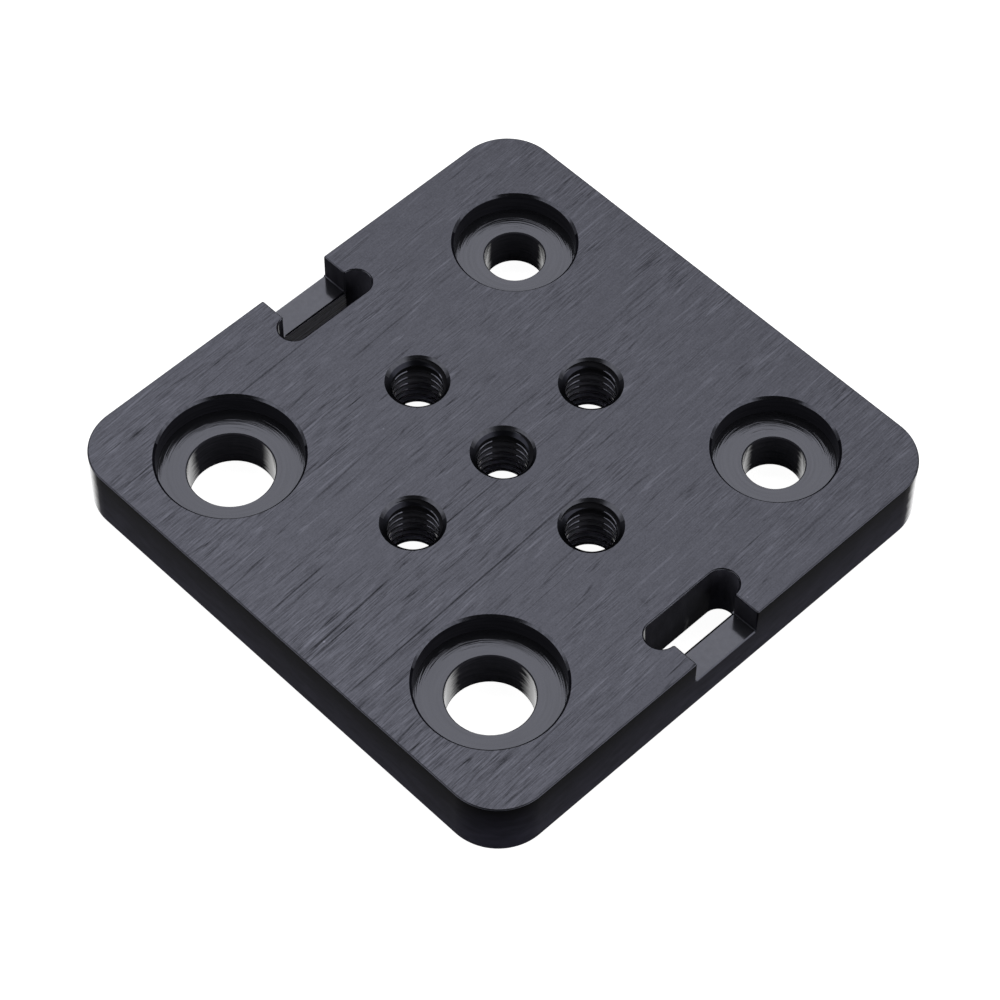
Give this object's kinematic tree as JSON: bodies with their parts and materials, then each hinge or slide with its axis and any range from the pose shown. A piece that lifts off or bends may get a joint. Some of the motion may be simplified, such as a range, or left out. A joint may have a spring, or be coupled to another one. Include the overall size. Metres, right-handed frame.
{
  "type": "gantry plate",
  "caption": "Small square gantry plate with counterbored wheel holes at its corners, a cross of tapped holes in the middle and a belt slot at each end.",
  "frame": {"origin": "middle of the underside", "axes": "+X along the rail that the plate rides on, +Y across it towards the plain wheel holes, +Z out of the face with the counterbores"},
  "size_m": [0.05, 0.05, 0.0058],
  "materials": {
    "black_anodised_aluminium": "brushed and black anodised, with milled edges and recesses"
  },
  "bodies": {
    "root": {"gantry_plate": "black_anodised_aluminium"}
  },
  "joints": []
}
